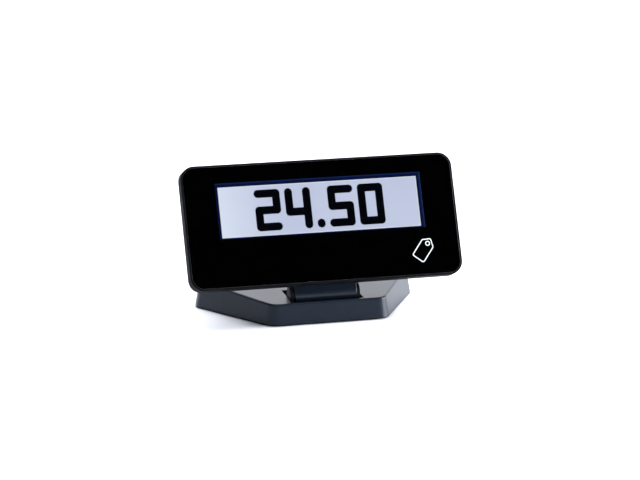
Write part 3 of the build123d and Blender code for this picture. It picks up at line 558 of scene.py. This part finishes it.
def ring(outer, inner, first=0):
    """Faces between two loops of as many points, numbered from a first point."""
    count = len(outer)
    turns = [(k, (k + 1) % count) for k in range(count)]
    faces = [(first + k, first + after, first + count + after, first + count + k) for k, after in turns]
    return [tuple(p) for p in outer + inner], faces


def rounded_loop(points, radius, inset, steps=8):
    """An anticlockwise convex outline with round corners, drawn in by inset, as points in order."""
    sides = [(points[(k + 1) % len(points)] - p).normalized() for k, p in enumerate(points)]
    normals = [Vector((side.y, -side.x)) for side in sides]
    loop = []
    for k, point in enumerate(points):
        before, after = normals[k - 1], normals[k]
        centre = point - (before + after) * (radius / (1 + before.dot(after)))
        start = math.atan2(before.y, before.x)
        turn = before.angle(after)
        for step in range(steps + 1):
            angle = start + turn * step / steps
            loop.append(centre + Vector((math.cos(angle), math.sin(angle))) * (radius - inset))
    return loop


LEFT, RIGHT = STROKE / 2, GLYPH_W - STROKE / 2
LOW, MIDDLE, TOP = STROKE / 2, GLYPH_H / 2, GLYPH_H - STROKE / 2
STROKES = {
    "0": [[(LEFT, LOW), (RIGHT, LOW), (RIGHT, TOP), (LEFT, TOP), (LEFT, LOW)]],
    "2": [[(LEFT, TOP), (RIGHT, TOP), (RIGHT, MIDDLE), (LEFT, MIDDLE), (LEFT, LOW), (RIGHT, LOW)]],
    "4": [[(LEFT, TOP), (LEFT, MIDDLE - 4), (RIGHT, MIDDLE - 4)], [(RIGHT, TOP), (RIGHT, LOW)]],
    "5": [[(RIGHT, TOP), (LEFT, TOP), (LEFT, MIDDLE), (RIGHT, MIDDLE), (RIGHT, LOW), (LEFT, LOW)]],
    ".": [[(LEFT, LOW), (LEFT, LOW + 1)]],
}


def near_stroke(point, path):
    """How far a dot's centre is from a stroke's centre line, in dots."""
    best = math.inf
    for a, b in zip(path, path[1:]):
        a, b = Vector(a), Vector(b)
        along = max(0.0, min(1.0, (point - a).dot(b - a) / (b - a).length_squared))
        best = min(best, (a + (b - a) * along - point).length)
    return best


def dark_runs(mark, width, row):
    """The dark stretches of one row of a glyph's dots, as (first column, end column) pairs."""
    dark = []
    for column in range(width):
        centre = Vector((column + 0.5, row + 0.5))
        dark.append(min(near_stroke(centre, path) for path in STROKES[mark]) < STROKE / 2)
    steps = [k for k in range(width + 1) if (k < width and dark[k]) != (k > 0 and dark[k - 1])]
    return list(zip(steps[::2], steps[1::2]))


def glyph_bands(mark, width):
    """A glyph as bands of rows that have the same dark stretches: [first row, end row, stretches]."""
    bands = []
    for row in range(GLYPH_H):
        runs = dark_runs(mark, width, row)
        if bands and bands[-1][2] == runs:
            bands[-1][1] = row + 1
        else:
            bands.append([row, row + 1, runs])
    return bands


def amount_shape():
    """The amount in driven dots: each dark stretch of a band is a face that meets its neighbours' corners."""
    widths = [STROKE if mark == "." else GLYPH_W for mark in AMOUNT]
    start = (DOTS_ACROSS - sum(widths) - GLYPH_GAP * (len(AMOUNT) - 1)) // 2
    numbers = {}
    faces = []
    for mark, width in zip(AMOUNT, widths):
        bands = glyph_bands(mark, width)
        corners = {}
        for low, high, runs in bands:
            for line in (low, high):
                corners.setdefault(line, set()).update(column for run in runs for column in run)
        for low, high, runs in bands:
            for first, end in runs:
                below = [(c, low) for c in sorted(corners[low]) if first <= c <= end]
                above = [(c, high) for c in sorted(corners[high], reverse=True) if first <= c <= end]
                dots = [(start + c, GLYPH_FOOT + r) for c, r in below + above]
                faces.append(tuple(numbers.setdefault(dot, len(numbers)) for dot in dots))
        start += width + GLYPH_GAP
    left, foot = LIT_X - LIT_W / 2, LIT_Y - DOT * DOTS_UP / 2
    return [(left + column * DOT, foot + row * DOT) for column, row in numbers], faces


def mark_shape():
    """A plain price tag in outline: a five-sided tag with its eyelet, leaning to one side."""
    lean = Matrix.Rotation(TAG_LEAN, 2)
    half_w, half_l = TAG_W / 2, TAG_L / 2
    shoulder = half_l * TAG_SHOULDER
    tag = [(-half_w, -half_l), (half_w, -half_l), (half_w, shoulder), (0, half_l), (-half_w, shoulder)]
    tag = [MARK_AT + lean @ Vector(p) for p in tag]
    points, faces = ring(rounded_loop(tag, TAG_R, 0), rounded_loop(tag, TAG_R, TAG_LINE))
    eye = MARK_AT + lean @ Vector((0, half_l * EYELET_AT))
    turns = [k * math.tau / EYELET_SIDES for k in range(EYELET_SIDES)]
    circle = [Vector((math.cos(a), math.sin(a))) for a in turns]
    inner = [eye + p * (EYELET_R - TAG_LINE) for p in circle]
    more_points, more_faces = ring([eye + p * EYELET_R for p in circle], inner, len(points))
    return points + more_points, faces + more_faces


# ---------------------------------------------------------------- floor, light and camera
FLOOR_R = 9.0
FLOOR_SIDES = 96
VIEW_AZIMUTH = math.radians(-15.46)
VIEW_ELEVATION = math.radians(14.54)
VIEW_DISTANCE = 1.619
VIEW_LENS = 168.4
AIM_FROM_MIDDLE = Vector((0.0107, 0.0054, -0.0101))


def make_floor():
    """A wide pale round floor."""
    turns = [k * math.tau / FLOOR_SIDES for k in range(FLOOR_SIDES)]
    rim = [(FLOOR_R * math.cos(a), FLOOR_R * math.sin(a), 0) for a in turns]
    mesh = bpy.data.meshes.new("floor")
    mesh.from_pydata(rim, [], [range(FLOOR_SIDES)])
    floor = bpy.data.objects.new("floor", mesh)
    bpy.context.scene.collection.objects.link(floor)
    material, tree, shader = new_material("pale_floor", Roughness=0.9)
    shader.inputs["Specular IOR Level"].default_value = 0.0
    tone = blend_colours(tree, noise(tree, 3.0), grey(0.86), grey(0.88))
    tree.links.new(tone, shader.inputs["Base Color"])
    mesh.materials.append(material)


def make_world():
    """Soft studio surroundings: bright behind and to the right, dark above the front, a cool low front."""
    world = bpy.data.worlds.new("studio")
    bpy.context.scene.world = world
    world.use_nodes = True
    tree = world.node_tree
    tree.nodes.clear()
    way = add(tree, "ShaderNodeTexCoord").outputs["Generated"]
    part = add(tree, "ShaderNodeSeparateXYZ", {"Vector": way}).outputs
    turned = maths(tree, "ADD", part["Y"], maths(tree, "MULTIPLY", part["X"], 0.8))
    back = spread(tree, turned, 0.0, 0.90)
    low = spread(tree, part["Z"], 0.12, 0.42, 1.0, 0.0)
    front = blend_colours(tree, low, (0.004, 0.004, 0.005, 1.0), (0.16, 0.27, 0.40, 1.0))
    tone = blend_colours(tree, back, front, (2.15, 2.2, 2.35, 1.0))
    light = add(tree, "ShaderNodeBackground", {"Color": tone, "Strength": 1.0})
    add(tree, "ShaderNodeOutputWorld", {"Surface": light.outputs[0]})


def make_light(name, place, size, power, aim=(0, 0, 0.03)):
    """A square softbox at a place, turned to the object."""
    data = bpy.data.lights.new(name, "AREA")
    data.color = (0.95, 0.98, 1.06)
    data.shape = "SQUARE"
    data.size = size
    data.energy = power
    lamp = bpy.data.objects.new(name, data)
    bpy.context.scene.collection.objects.link(lamp)
    lamp.location = place
    lamp.rotation_euler = (Vector(aim) - Vector(place)).to_track_quat("-Z", "Y").to_euler()


def make_camera():
    """A long lens from the shopper's left, a little above the counter."""
    low, high = CAD_BOX
    aim = (low + high) / 2 + AIM_FROM_MIDDLE
    a, e = VIEW_AZIMUTH, VIEW_ELEVATION
    back = Vector((math.sin(a) * math.cos(e), -math.cos(a) * math.cos(e), math.sin(e)))
    foot = Vector((0, 0, low.z))
    data = bpy.data.cameras.new("camera")
    data.lens = VIEW_LENS
    data.sensor_width = 36.0
    data.clip_end = 50.0
    camera = bpy.data.objects.new("camera", data)
    bpy.context.scene.collection.objects.link(camera)
    camera.location = foot + back * VIEW_DISTANCE
    camera.rotation_euler = (aim - camera.location).to_track_quat("-Z", "Y").to_euler()
    bpy.context.scene.camera = camera


finish_nodes()
FIELD = rectangle(LIT_W / 2 - DOT, LIT_H / 2 - DOT)
RIM = ring(rectangle(LIT_W / 2, LIT_H / 2), FIELD)
DOTS_DEPTH = PICTURE_DEPTH - PICTURE_THICK
LIT = (FIELD, [(0, 1, 2, 3)])
new_piece("lit_field", LIT, PICTURE_DEPTH, PICTURE_THICK, lit_picture())
new_piece("lit_field_rim", RIM, PICTURE_DEPTH, PICTURE_THICK, lit_rim())
new_piece("amount_dots", amount_shape(), DOTS_DEPTH, DOTS_THICK, dark_dots())
new_piece("lens_mark", mark_shape(), PRINT_DEPTH, PRINT_THICK, white_print_painted_glow())
make_floor()
make_world()
make_light("overhead_softbox", (0.0, 0.4, 2.0), 2.2, 76.0)
make_light("right_softbox", (1.75, -0.35, 0.40), 1.3, 84.0)
make_camera()
bpy.context.scene.view_settings.view_transform = "Standard"
